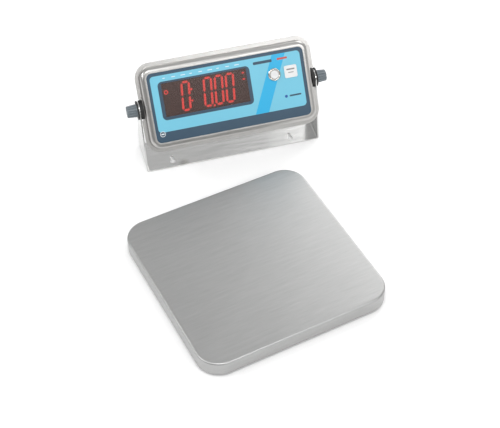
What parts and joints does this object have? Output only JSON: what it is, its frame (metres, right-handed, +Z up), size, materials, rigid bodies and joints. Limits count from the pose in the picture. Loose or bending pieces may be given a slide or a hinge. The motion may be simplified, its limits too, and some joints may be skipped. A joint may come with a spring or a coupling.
{
  "type": "bench scale with remote indicator",
  "caption": "Low square stainless weighing platform with a separate tilting LED indicator held between the arms of a folded bracket.",
  "frame": {"origin": "on the table, under the middle of the whole set", "axes": "+Z up, +X to the user's right, +Y away from the user towards the indicator"},
  "size_m": [0.4117, 0.5117, 0.1714],
  "materials": {
    "brushed_stainless": "fine straight brushed grain",
    "polished_stainless": "polished with faint grain",
    "zinc_plated_steel": "zinc plated",
    "coated_steel": "satin grey coating",
    "cast_aluminium": "as cast, lightly blasted",
    "machined_aluminium": "machined",
    "black_rubber": "matte",
    "grey_sealant": "matte",
    "panel_film": "printed film, fine texture",
    "smoked_window": "smooth smoked plastic",
    "led_red": "diffusing plastic",
    "board_green": "solder mask",
    "black_plastic": "matte",
    "grey_plastic": "fine moulded texture",
    "white_plastic": "satin",
    "nylon": "natural",
    "chip_black": "moulded",
    "nickel_brass": "nickel plated"
  },
  "bodies": {
    "platform_and_stand": {"base_pan": "coated_steel", "rubber_feet": "black_rubber", "load_cell": "machined_aluminium", "cell_foot_spacer": "zinc_plated_steel", "cell_base_screws": "zinc_plated_steel", "gauge_covers": "grey_sealant", "overload_stops": "zinc_plated_steel", "stop_nuts": "zinc_plated_steel", "platform_gland": "nylon", "platform_gland_nut": "nylon", "u_bracket": "brushed_stainless"},
    "weigh_frame": {"cell_top_spacer": "zinc_plated_steel", "cell_top_screws": "zinc_plated_steel", "spider": "cast_aluminium", "platter_pads": "black_rubber"},
    "platter_body": {"platter": "brushed_stainless"},
    "head": {"front_shell": "polished_stainless", "rear_shell": "brushed_stainless", "housing_seal": "black_rubber", "panel_overlay": "panel_film", "display_lens": "smoked_window", "digit_blocks": "led_red", "display_board": "board_green", "display_posts": "nylon", "display_screws": "zinc_plated_steel", "main_board": "board_green", "board_posts": "nylon", "board_screws": "zinc_plated_steel", "supply_block": "black_plastic", "terminal_strips": "nylon", "processor_chip": "chip_black", "button_bezel": "polished_stainless", "power_switch": "black_plastic", "button_nut": "nickel_brass", "key_switch": "chip_black", "key_board": "board_green", "key_posts": "nylon", "lid_posts": "zinc_plated_steel", "lid_screws": "zinc_plated_steel", "lid_seals": "black_rubber", "cable_gland": "nickel_brass", "cable_gland_nut": "nickel_brass", "supply_inlet": "nickel_brass", "supply_inlet_nut": "nickel_brass", "pivot_inserts": "zinc_plated_steel", "friction_discs": "black_rubber"},
    "power_button_body": {"power_button": "white_plastic"},
    "tare_key_body": {"tare_key": "white_plastic"},
    "left_washer_body": {"left_outer_washer": "black_rubber"},
    "left_knob_body": {"left_knob": "grey_plastic", "left_stud": "zinc_plated_steel"},
    "right_washer_body": {"right_outer_washer": "black_rubber"},
    "right_knob_body": {"right_knob": "grey_plastic", "right_stud": "zinc_plated_steel"}
  },
  "joints": [
    {"name": "platter_deflect", "type": "slide", "parent": "platform_and_stand", "child": "weigh_frame", "axis": [0, 0, -1], "range_m": [0, 0.0005], "stiffness_N_per_m": 100000, "springref_m": -0.0002, "deforming": ["load_cell"]},
    {"name": "platter_lift", "type": "slide", "parent": "weigh_frame", "child": "platter_body", "axis": [0, 0, 1], "range_m": [0, 0.1]},
    {"name": "head_tilt", "type": "hinge", "parent": "platform_and_stand", "child": "head", "pos_m": [0.0426, 0.1705, 0.1068], "axis": [0.9781, -0.2079, 0], "range_deg": [-55, 55]},
    {"name": "power_button_press", "type": "slide", "parent": "head", "child": "power_button_body", "axis": [0.172, 0.809, -0.5621], "range_m": [0, 0.0015], "stiffness_N_per_m": 600, "springref_m": -0.002},
    {"name": "tare_key_press", "type": "slide", "parent": "head", "child": "tare_key_body", "axis": [0.172, 0.809, -0.5621], "range_m": [0, 0.0006], "stiffness_N_per_m": 1500, "springref_m": -0.0008},
    {"name": "left_washer_slide", "type": "slide", "parent": "head", "child": "left_washer_body", "axis": [-0.9781, 0.2079, 0], "range_m": [0, 0.003]},
    {"name": "left_knob_turn", "type": "hinge", "parent": "left_washer_body", "child": "left_knob_body", "pos_m": [0.0426, 0.1705, 0.1068], "axis": [-0.9781, 0.2079, 0], "range_deg": [0, 1120]},
    {"name": "right_washer_slide", "type": "slide", "parent": "head", "child": "right_washer_body", "axis": [0.9781, -0.2079, 0], "range_m": [0, 0.003]},
    {"name": "right_knob_turn", "type": "hinge", "parent": "right_washer_body", "child": "right_knob_body", "pos_m": [0.0426, 0.1705, 0.1068], "axis": [0.9781, -0.2079, 0], "range_deg": [0, 1120]}
  ],
  "couplings": [
    {"joint": "left_knob_turn", "follows": "left_washer_slide", "rad_per_m": 6283.2},
    {"joint": "right_knob_turn", "follows": "right_washer_slide", "rad_per_m": 6283.2}
  ]
}
